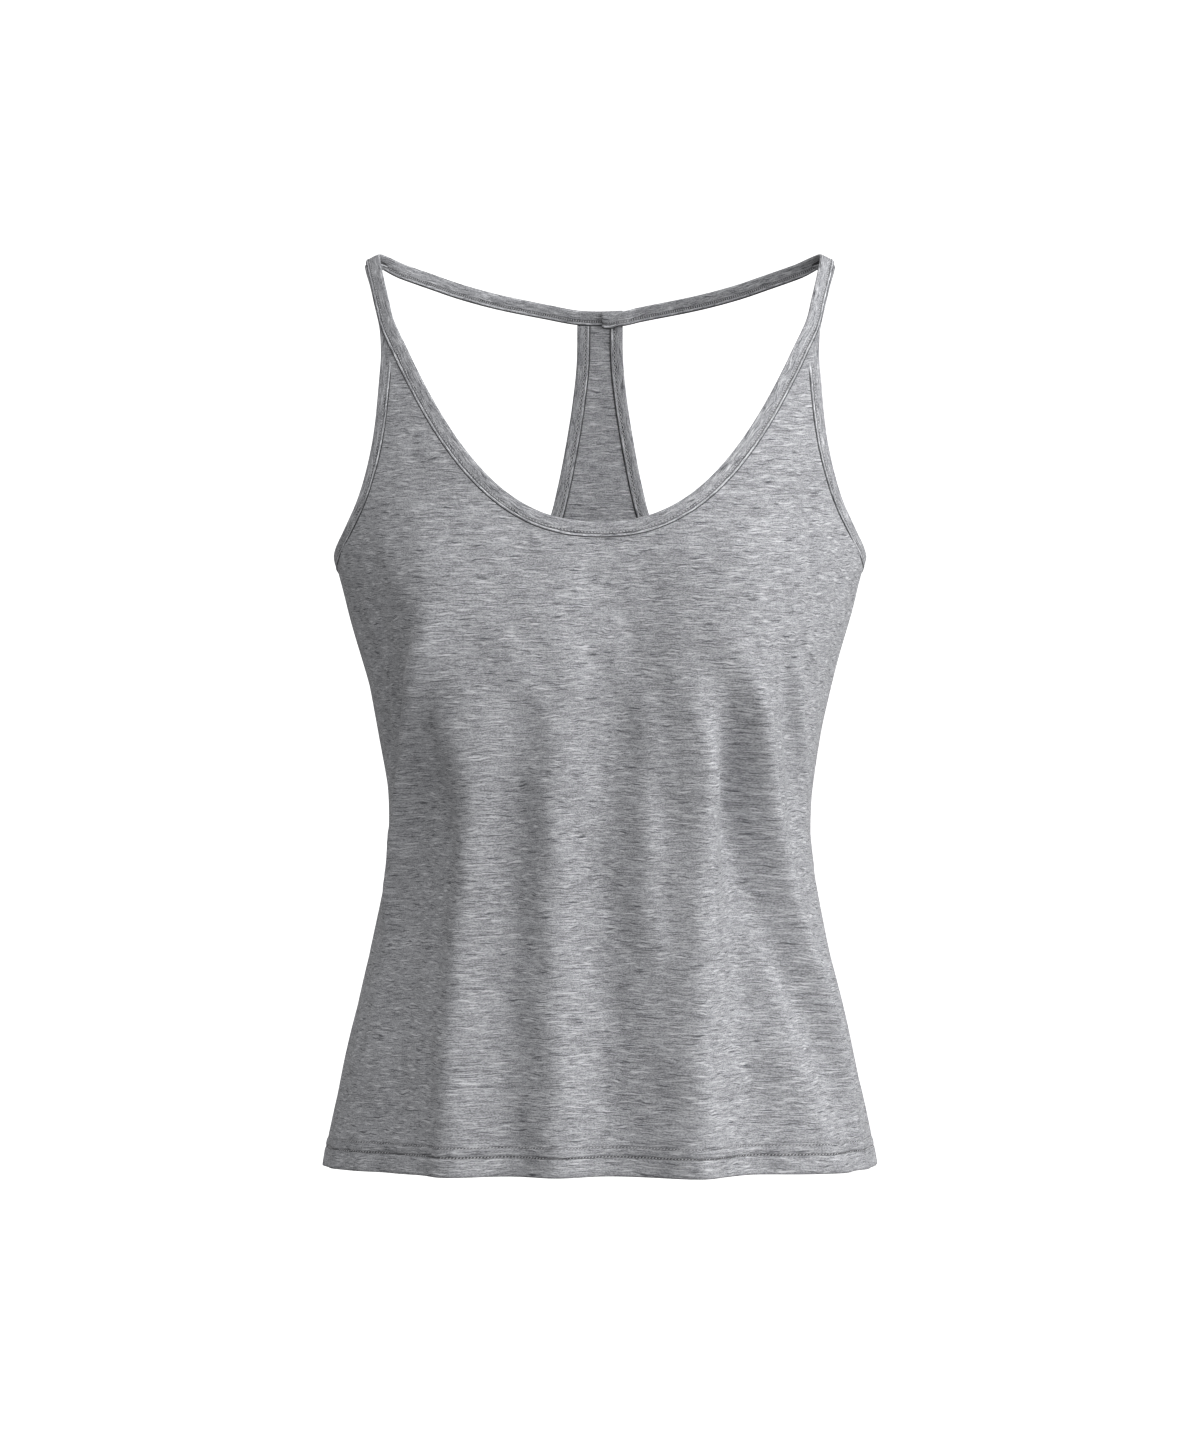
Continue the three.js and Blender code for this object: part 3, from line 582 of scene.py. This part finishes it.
beforeSides = neckLine["point"][:, 1] < 0
neckForFront = beforeSides & (neckLine["point"][:, 2] < panelMake["neckTapeBelow"])
armForFront = {side: line["point"][:, 1] < panelMake["armTapePast"]
               for side, line in armLines.items()}
armForBack = {side: line["point"][:, 1] > -panelMake["armTapePast"]
              for side, line in armLines.items()}


# How far points lie on the panel's side of a tape's free edge, measured across the nearest
# station, and how far they are from that station.
def besideTape(points, line, chosen):
    stations = line["point"][chosen]
    across = line["across"][chosen]
    nearest = np.empty(len(points), int)
    distance = np.empty(len(points))
    for block in np.array_split(np.arange(len(points)), 24):
        gap = np.linalg.norm(points[block, None] - stations[None, ::2], axis=2)
        nearest[block] = gap.argmin(axis=1) * 2
        distance[block] = gap.min(axis=1)
    return ((points - stations[nearest]) * across[nearest]).sum(axis=1), distance


# A panel is one sheet: it runs from its top down to the hem, round the fold, and up inside.
# Its relief is the folds, the creases, slight unevenness, the hem's swell and the rows' pull.
def panelSheet(name, node, fromAngle, toAngle, topHeight, narrow, tapes):
    make = panelMake
    angle = np.linspace(fromAngle, toAngle, make["columns"] + 1)
    bottom = bodyForm["hemHeight"] - bodyForm["hemSwing"] * foldRelief(angle, bodyForm["hemHeight"])
    down = np.linspace(0, 1, make["rows"] + 1)[:-1, None]
    zone = bottom + make["hemZone"]
    upper = topHeight + (zone - topHeight) * down
    nearHem = np.linspace(0, 1, make["rowsAtHem"] + 1)[:, None]
    lower = zone + (bottom + make["foldRadius"] - zone) * nearHem
    turn = np.linspace(0, np.pi, make["foldRows"] + 2)[1:, None]
    fold = bottom + make["foldRadius"] * (1 - np.sin(turn))
    turnedUp = np.linspace(0, 1, make["turnRows"] + 1)[1:, None]
    inside = bottom + make["foldRadius"] + make["hemTurn"] * turnedUp
    height = np.vstack([upper, lower, fold, inside])
    radius = make["foldRadius"]
    depth = np.concatenate([np.full(len(upper) + len(lower), make["middleDepth"]),
                            (make["middleDepth"] + radius * (1 - np.cos(turn)))[:, 0],
                            np.full(len(inside), make["middleDepth"] + 2 * radius)])[:, None]
    rows, columns = height.shape
    angles = np.broadcast_to(angle, height.shape)

    flatPoints = outerPoint(angles, height).reshape(-1, 3)
    clear = np.full(len(flatPoints), 1e3)
    fromMiddle = np.abs(angles - (fromAngle + toAngle) / 2)
    keep = ((height < make["narrowAbove"]) | (fromMiddle < narrow)).reshape(-1)
    for line, chosen in tapes:
        side, distance = besideTape(flatPoints, line, chosen)
        keep &= side > make["underTape"]
        clear = np.minimum(clear, distance)
    clear = clear.reshape(rows, columns)
    fade = smooth((clear - make["flatBesideTape"]) / make["creasesGrowOver"])

    aboveHem = height - bottom
    fine = creaseRelief(angles, height) + unevenness(angles, height)
    relief = foldRelief(angles, height) + fine * fade
    relief += make["hemSwell"] * (1 - smooth((aboveHem - make["swellTop"]) / make["swellFade"]))
    # Painted shade: a soft dark band between the hem's rows, a darker line at the hem's fold, and
    # darker lines along both stitch rows.
    paintedShade = 0.10 * np.exp(-((aboveHem - 14.5) / 2.2) ** 2) + 0.25 * np.exp(-((aboveHem / 0.8) ** 2))
    for level, dark in zip(make["stitchHeights"], make["stitchPaintedShade"]):
        relief -= make["stitchPull"] * np.exp(-(((aboveHem - level) / make["stitchSpread"]) ** 2))
        paintedShade += dark * np.exp(-(((aboveHem - level) / 0.7) ** 2))
    draw = np.random.default_rng(5)
    pucker = np.zeros_like(height)
    for wave in (6.5, 8.0, 9.7, 13.0):
        turns = np.radians(angles) * make["puckerRadius"] / wave
        pucker += np.sin(2 * np.pi * turns + draw.uniform(0, 6.28))
    near = np.exp(-((aboveHem - make["puckerHeight"]) / make["puckerReach"]) ** 2)
    relief += make["pucker"] * pucker * near
    fromSeam = np.radians(np.minimum(angles - angle[0], angle[-1] - angles)) * bodyForm["meanRadius"]
    relief -= make["seamPull"] * np.exp(-((fromSeam / make["seamSpread"]) ** 2))

    points = formPoint(angles, height, relief)
    dAcross = np.gradient(points, axis=1)
    lookUp = formPoint(angles, height + 1, relief) - formPoint(angles, height - 1, relief)
    normal = unit(np.cross(dAcross, lookUp))
    points = (points - normal * depth[..., None]).reshape(-1, 3)

    faces = gridFaces(rows, columns)[:, ::-1]
    faces = faces[keep[faces].all(axis=1)]
    used = np.unique(faces)
    renumber = np.full(len(points), -1)
    renumber[used] = np.arange(len(used))
    across = np.radians(angles) * bodyForm["meanRadius"]
    hang = height + bodyForm["hemSwing"] * 2 * foldRelief(angles, height)
    turnedRows = len(fold) + len(inside)
    hang[-turnedRows:] = bottom - aboveHem[-turnedRows:]
    plane = np.stack([across, hang], axis=-1).reshape(-1, 2) * mm
    piece = meshObject(name, points[used], renumber[faces], plane[faces], jersey,
                       paintedShade.reshape(-1)[used])
    thicken(piece, make["sheet"])
    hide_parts(node)
    print(name, "made:", len(faces), "faces")


# The tapes

tapeMake = {"cloth": 0.36, "half": 0.9, "stitchRow": 2.35, "chainRow": 2.5, "endTaper": 12.0}


# The section of a folded tape, as rows of (across, out, painted shade), where negative painted shade
# is a painted highlight. It runs from the flat lip beside the panel, a strip painted dark as the
# seam's shadow, over the rolled rim with a painted highlight, the sunk line beside it in painted
# shade, the stitched strip with painted shade round its stitches and the smooth outer face, round the
# free edge, painted slightly darker, and back along the inner face, its chained strip in painted shade
# and its ridge with a painted highlight, to a painted dark line at its sewn edge.
def tapeSection(width):
    half = tapeMake["half"]
    corners = np.array([
        (width + 0.55, 0.40, 0.82), (width + 0.55, 0.50, 0.82), (width + 0.15, 0.54, 0.84),
        (width + 0.02, 0.74, 0.30), (width - 0.22, 1.00, -0.30), (width - 0.62, 1.08, -0.42),
        (width - 0.98, 0.92, -0.05), (width - 1.28, 0.54, 0.88), (width - 1.60, 0.70, 0.50),
        (width - 1.95, 0.80, 0.12), (width - 2.35, 0.76, 0.52), (width - 2.75, 0.82, 0.14),
        (width - 3.3, half, 0), (width * 0.5, half + 0.10, 0), (width * 0.28, half + 0.06, 0),
        (1.2, half - 0.04, 0), (0.5, half - 0.26, 0), (0.1, 0.4, 0.05), (0.0, 0.0, 0.10),
        (0.1, -0.4, 0.05), (0.5, 0.26 - half, 0), (1.2, 0.04 - half, 0),
        (width * 0.28, -half - 0.05, 0), (width * 0.48, -half - 0.05, 0), (width - 3.75, -half, 0),
        (width - 3.3, 0.12 - half, 0.46), (width - 2.5, 0.16 - half, 0.54),
        (width - 1.7, 0.12 - half, 0.46), (width - 1.3, -half - 0.02, -0.25),
        (width - 0.9, -half - 0.04, -0.45), (width - 0.5, 0.10 - half, 0.10),
        (width - 0.15, -0.62, 0.76), (width + 0.35, -0.48, 0.80), (width + 0.5, -0.36, 0.80),
    ])
    return curveThrough(corners, np.linspace(0, 1, 70))


# A tape: its section carried along its path, lifted by `lift`, with slight swells along the length.
# Its free edge is drawn in by `drawn`, and its sewn edge reaches out by `spill`.
def carriedTape(name, node, line, width, lift, drawn, spill, seed):
    section = tapeSection(width)
    draw = np.random.default_rng(seed)
    swell = np.zeros(len(line["place"]))
    for wave in (9.0, 14.0, 23.0, 37.0):
        turns = line["place"] / (wave * draw.uniform(0.9, 1.1)) + draw.uniform(0, 1)
        swell += 0.035 * np.sin(2 * np.pi * turns)
    share = section[None, :, 0] / width
    across = section[None, :, 0] + drawn[:, None] * (1 - share) + spill[:, None] * share
    out = section[None, :, 1] * (1 + swell[:, None]) + lift[:, None]
    points = (line["point"][:, None] + line["across"][:, None] * across[..., None]
              + line["normal"][:, None] * out[..., None])
    rows, columns = points.shape[:2]
    faces = gridFaces(rows, columns)
    steps = np.linalg.norm(np.diff(section[:, :2], axis=0), axis=1)
    around = np.concatenate([[0], np.cumsum(steps)])
    plane = np.stack(np.broadcast_arrays(line["place"][:, None], around[None]), axis=-1)
    plane = plane.reshape(-1, 2) * mm
    # The section's painted shade and painted highlight, the same at every station along the tape.
    paintedShade = np.broadcast_to(section[:, 2], (rows, columns)).reshape(-1)
    piece = meshObject(name, points.reshape(-1, 3), faces, plane[faces], tapeCloth, paintedShade)
    thicken(piece, tapeMake["cloth"])
    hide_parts(node)
    print(name, "made:", len(faces), "faces")


# Sewing

# Copies of a small closed shape, given as points and faces, at many places: each place is an
# origin with three directions.
def scattered(name, shape, faces, origins, first, second, third, material):
    points = (origins[:, None] + shape[None, :, :1] * first[:, None]
              + shape[None, :, 1:2] * second[:, None] + shape[None, :, 2:] * third[:, None])
    firstPoint = (np.arange(len(origins)) * len(shape))[:, None, None]
    every = (faces[None] + firstPoint).reshape(-1, faces.shape[1])
    plane = np.zeros((len(every), faces.shape[1], 2))
    return meshObject(name, points.reshape(-1, 3), every, plane, material)


# A stitch lying on the cloth: a rounded bar `length` long and `thick` across, sunk at both ends.
def stitchShape(length, thick, rows=5, around=6):
    t = np.linspace(-1, 1, rows)
    turn = np.linspace(0, 2 * np.pi, around, endpoint=False)
    radius = thick / 2 * np.sqrt(np.clip(1.04 - t ** 4, 0.04, 1))
    x = np.repeat(t * length / 2, around)
    y = (radius[:, None] * np.cos(turn)).reshape(-1)
    z = (radius[:, None] * np.sin(turn) - (t ** 2 * thick * 0.45)[:, None]).reshape(-1)
    body = gridFaces(rows, around, closed=True)
    first = np.array([[0, 1, 2, 3], [0, 3, 4, 5]])
    last = (rows - 1) * around + np.array([[3, 2, 1, 0], [5, 4, 3, 0]])
    return np.stack([x, y, z], axis=1), np.vstack([body[:, ::-1], first[:, ::-1], last[:, ::-1]])


# A chain loop: a flattened ring of thread, `length` long and `width` across.
def loopShape(length, width, thick, rows=12, around=5):
    turn = np.linspace(0, 2 * np.pi, rows, endpoint=False)
    ringTurn = np.linspace(0, 2 * np.pi, around, endpoint=False)
    centre = np.stack([length / 2 * np.cos(turn), width / 2 * np.sin(turn), 0 * turn], axis=1)
    outward = np.stack([np.cos(turn), np.sin(turn), 0 * turn], axis=1)
    points = (centre[:, None] + outward[:, None] * (thick / 2 * np.cos(ringTurn))[None, :, None]
              + np.array([0, 0, 1.0]) * (thick / 2 * np.sin(ringTurn))[None, :, None])
    r, c = np.meshgrid(np.arange(rows), np.arange(around), indexing="ij")
    up, right = (r + 1) % rows, (c + 1) % around
    faces = np.stack([r * around + c, up * around + c,
                      up * around + right, r * around + right], axis=-1)
    return points.reshape(-1, 3), faces.reshape(-1, 4)


sewing = {
    "thread": 0.44, "stitch": 1.5, "pitch": 1.95, "slant": 0.30,
    "loop": 2.4, "loopWidth": 1.5, "loopPitch": 2.8, "loopThread": 0.36,
    "rung": 1.9, "rungPitch": 1.5,
    "hemStitch": 1.45, "hemPitch": 2.2, "hemSlant": 0.40, "hemOut": 0.08,
    "coverStitch": 6.6, "coverPitch": 2.4, "coverHeight": 15.0, "coverOut": -2.1,
    "endGap": 3.0, "rowOut": 0.98,
    "backFrom": 13,  # depth from which the neck tape's inner side has rungs, not loops
}


def alongTape(line, field, places):
    return np.stack([np.interp(places, line["place"], line[field][:, k]) for k in range(3)], axis=1)


# A row of stitches along a tape at some places, `across` from its free edge and `out` from its
# middle. Each stitch lies in the direction tangent * along + across * slant.
def rowAlong(name, line, lift, places, across, out, shape, faces, along, slant):
    tangent, sideways, normal = (unit(alongTape(line, field, places))
                                 for field in ("tangent", "across", "normal"))
    lifted = out + np.interp(places, line["place"], lift)
    origins = alongTape(line, "point", places) + sideways * across + normal * lifted[:, None]
    first = unit(tangent * along + sideways * slant)
    facing = normal * np.sign(out)
    return scattered(name, shape, faces, origins, first, np.cross(facing, first), facing, thread)


neckOver = neckLift(neckLine)
armOver = {side: armLift(line) for side, line in armLines.items()}
bar, barFaces = stitchShape(sewing["stitch"], sewing["thread"])
rung, rungFaces = stitchShape(sewing["rung"], sewing["loopThread"])
ring, ringFaces = loopShape(sewing["loop"], sewing["loopWidth"], sewing["loopThread"])
chainOut = -tapeMake["half"] - 0.02
rowOut = sewing["rowOut"]
endGap = sewing["endGap"]

neckEnd = neckLine["place"][-1]
rungPlaces = np.arange(endGap, neckEnd - endGap, sewing["rungPitch"])
loopPlaces = np.arange(endGap, neckEnd - endGap, sewing["loopPitch"])
rungsBehind = alongTape(neckLine, "point", rungPlaces)[:, 1] > sewing["backFrom"]
loopsBefore = alongTape(neckLine, "point", loopPlaces)[:, 1] <= sewing["backFrom"]
neckSewing = [
    rowAlong("neckTopstitch", neckLine, neckOver,
             np.arange(endGap, neckEnd - endGap, sewing["pitch"]),
             neckEdge["tapeWidth"] - tapeMake["stitchRow"], rowOut, bar, barFaces, 1.0,
             sewing["slant"]),
    rowAlong("neckChain", neckLine, neckOver, loopPlaces[loopsBefore],
             neckEdge["tapeWidth"] - tapeMake["chainRow"], chainOut, ring, ringFaces, 1.0, 0.0),
    rowAlong("neckRungs", neckLine, neckOver, rungPlaces[rungsBehind],
             neckEdge["tapeWidth"] - tapeMake["chainRow"], chainOut, rung, rungFaces, 0.15, 1.0),
    rowAlong("joinTack", neckLine, neckOver, neckEnd - np.arange(11.5, 17.5, 0.9),
             neckEdge["tapeWidth"] - 2.6, chainOut - 0.2, bar, barFaces, 0.35, 1.0),
    rowAlong("joinTackBelow", neckLine, neckOver, neckEnd - np.arange(12.0, 16.5, 1.2),
             neckEdge["tapeWidth"] - 1.3, chainOut - 0.1, bar, barFaces, 1.0, -0.4),
]
for side, line in armLines.items():
    last = line["place"][-1] - endGap
    rowAlong(side + "ArmTopstitch", line, armOver[side], np.arange(endGap, last, sewing["pitch"]),
                 armEdge["tapeWidth"] - tapeMake["stitchRow"], rowOut, bar, barFaces, 1.0,
                 sewing["slant"])
    rowAlong(side + "ArmChain", line, armOver[side], np.arange(endGap, last, sewing["loopPitch"]),
                 armEdge["tapeWidth"] - tapeMake["chainRow"], chainOut, ring, ringFaces, 1.0, 0.0)
print("edges sewn")


# The hem's twin rows on the outside, and the cover stitch's zigzag on the turned-up edge inside.
def hemRow(name, level, outside, shape, faces, pitch, slant, spread=0.0):
    even = np.linspace(-90, 270, 7200)
    swing = bodyForm["hemSwing"] * foldRelief(even, bodyForm["hemHeight"])
    line = formPoint(even, bodyForm["hemHeight"] - swing + level,
                     foldRelief(even, bodyForm["hemHeight"] + level))
    length = np.concatenate([[0], np.cumsum(np.linalg.norm(np.diff(line, axis=0), axis=1))])
    count = int(length[-1] / pitch / 2) * 2
    angle = np.interp(np.arange(count) * length[-1] / count, length, even)
    zigzag = spread * (np.arange(count) % 2 * 2 - 1)
    bottom = bodyForm["hemHeight"] - bodyForm["hemSwing"] * foldRelief(angle, bodyForm["hemHeight"])
    height = bottom + level + zigzag
    relief = foldRelief(angle, height)
    out = outwardNormal(angle, height)
    sunk = formPoint(angle, height, relief + panelMake["hemSwell"] - panelMake["stitchPull"])
    origins = sunk + out * sewing["hemOut" if outside else "coverOut"]
    facing = out if outside else -out
    ahead = unit(outerPoint(angle + 0.3, height) - outerPoint(angle - 0.3, height))
    up = np.cross(out, ahead)
    first = unit(ahead + up * slant)
    if spread:
        first = unit(ahead * 0.55 + up * np.where(zigzag > 0, 1.0, -1.0)[:, None])
    return scattered(name, shape, faces, origins, first, np.cross(facing, first), facing, thread)


hemBar, hemBarFaces = stitchShape(sewing["hemStitch"], sewing["thread"])
coverBar, coverFaces = stitchShape(sewing["coverStitch"], sewing["thread"] * 0.9)
hemSewing = [
    hemRow(name, level, True, hemBar, hemBarFaces, sewing["hemPitch"], sewing["hemSlant"])
    for name, level in zip(("hemLowerRow", "hemUpperRow"), panelMake["stitchHeights"])
]
hemSewing.append(hemRow("hemCover", sewing["coverHeight"], False, coverBar, coverFaces,
                        sewing["coverPitch"], 0.0, spread=0.01))
print("hem sewn")

# Near its end the neck tape's lap hangs a little lower, and over the crest each armhole tape's free
# edge draws in under the neck tape.
fromEnd = neckEnd - neckLine["place"]
neckSpill = neckEdge["joinSag"] * smooth((11 - fromEnd) / 5) * smooth((fromEnd + 1.5) / 3)
nothing = np.zeros(len(neckLine["place"]))
carriedTape("neckBinding", "neck_binding", neckLine, neckEdge["tapeWidth"], neckOver, nothing,
            neckSpill, 3)
for number, (side, line) in enumerate(armLines.items()):
    place = line["place"] if side == "right" else line["place"][-1] - line["place"]
    drawnIn = armEdge["drawIn"] * smooth((tapeMake["endTaper"] - place) / tapeMake["endTaper"])
    carriedTape(side + "ArmBinding", "armhole_binding_" + side, line, armEdge["tapeWidth"],
                armOver[side], drawnIn, 0 * place, 20 + number)

panelSheet(
    "frontPanel", "front_panel", -90.2, 90.2, -58, 90.2,
    [(neckLine, neckForFront)] + [(armLines[side], armForFront[side]) for side in armLines])
panelSheet(
    "backPanel", "back_panel", 90, 270, -37, 22,
    [(armLines[side], armForBack[side]) for side in armLines])


# The studio: a pale floor that rises all round at a distance, soft lights and the camera.

studio = {
    "floorHeight": -0.95, "floorReach": 6.0, "riseTo": 9.0, "wallTop": 9.0, "floorGlow": 1.0,
    "ambient": 0.31,
    "keyAngle": 64.0, "keyLift": 15.0, "keyDistance": 2.4, "keySize": 2.2, "keyPower": 58.0,
    "frontAngle": 14.0, "frontLift": 10.0, "frontDistance": 3.0, "frontSize": 1.8,
    "frontPower": 18.0,
    "fillAngle": -32.0, "fillLift": 66.0, "fillDistance": 3.0, "fillSize": 2.2, "fillPower": 34.0,
    "cameraDistance": 3.5, "cameraHeight": -0.3016, "viewHeight": 0.936, "sensor": 36.0,
    "aimHeight": -0.30,
}


def areaLight(name, angle, lift, distance, size, power):
    light = bpy.data.lights.new(name, "AREA")
    light.shape = "DISK"
    light.size = size
    light.energy = power
    lamp = bpy.data.objects.new(name, light)
    bpy.context.scene.collection.objects.link(lamp)
    a, e = math.radians(angle), math.radians(lift)
    aim = np.array([0.0, 0.0, studio["aimHeight"]])
    towards = np.array([math.sin(a) * math.cos(e), -math.cos(a) * math.cos(e), math.sin(e)])
    place = aim + distance * towards
    lamp.location = place
    lamp.rotation_euler = Vector(aim - place).to_track_quat("-Z", "Y").to_euler()
    lamp.visible_camera = False


# The floor: a surface of revolution whose profile is flat, then bends up to a far wall.
def studioFloor():
    reach, rise = studio["floorReach"], studio["riseTo"] - studio["floorReach"]
    bend = np.linspace(0, np.pi / 2, 12)
    radius = np.concatenate([[0.0005, 2.0, 4.0], reach + rise * np.sin(bend), [reach + rise]])
    height = np.concatenate([[0, 0, 0], rise * (1 - np.cos(bend)), [studio["wallTop"]]])
    turn = np.linspace(0, 2 * np.pi, 96, endpoint=False)
    points = vector(radius[:, None] * np.cos(turn), radius[:, None] * np.sin(turn),
                    (studio["floorHeight"] + height)[:, None])
    faces = gridFaces(len(radius), len(turn), closed=True)
    mesh = bpy.data.meshes.new("studioFloor")
    mesh.from_pydata(points.reshape(-1, 3).tolist(), [], faces.tolist())
    material = bpy.data.materials.new("paleFloor")
    material.use_nodes = True
    shader = material.node_tree.nodes["Principled BSDF"]
    shader.inputs["Base Color"].default_value = (0.9, 0.9, 0.9, 1)
    shader.inputs["Roughness"].default_value = 0.9
    shader.inputs["Emission Color"].default_value = (1, 1, 1, 1)
    shader.inputs["Emission Strength"].default_value = studio["floorGlow"]
    mesh.materials.append(material)
    floor = bpy.data.objects.new("studioFloor", mesh)
    bpy.context.scene.collection.objects.link(floor)
    floor.visible_diffuse = False
    floor.visible_glossy = False
    floor.visible_shadow = False


def studioCamera():
    data = bpy.data.cameras.new("camera")
    data.sensor_fit = "VERTICAL"
    data.sensor_height = studio["sensor"]
    data.lens = studio["sensor"] * studio["cameraDistance"] / studio["viewHeight"]
    data.clip_end = 60
    camera = bpy.data.objects.new("camera", data)
    camera.location = (0, -studio["cameraDistance"], studio["cameraHeight"])
    camera.rotation_euler = (math.pi / 2, 0, 0)
    bpy.context.scene.collection.objects.link(camera)
    bpy.context.scene.camera = camera


studioFloor()
studioCamera()
for use in ("key", "front", "fill"):
    areaLight(use + "Light",
              *(studio[use + part] for part in ("Angle", "Lift", "Distance", "Size", "Power")))
world = bpy.data.worlds.new("studioAir")
bpy.context.scene.world = world
bpy.context.scene.view_settings.view_transform = "Standard"
world.use_nodes = True
world.node_tree.nodes["Background"].inputs["Color"].default_value = (1, 1, 1, 1)
world.node_tree.nodes["Background"].inputs["Strength"].default_value = studio["ambient"]
print("studio ready")
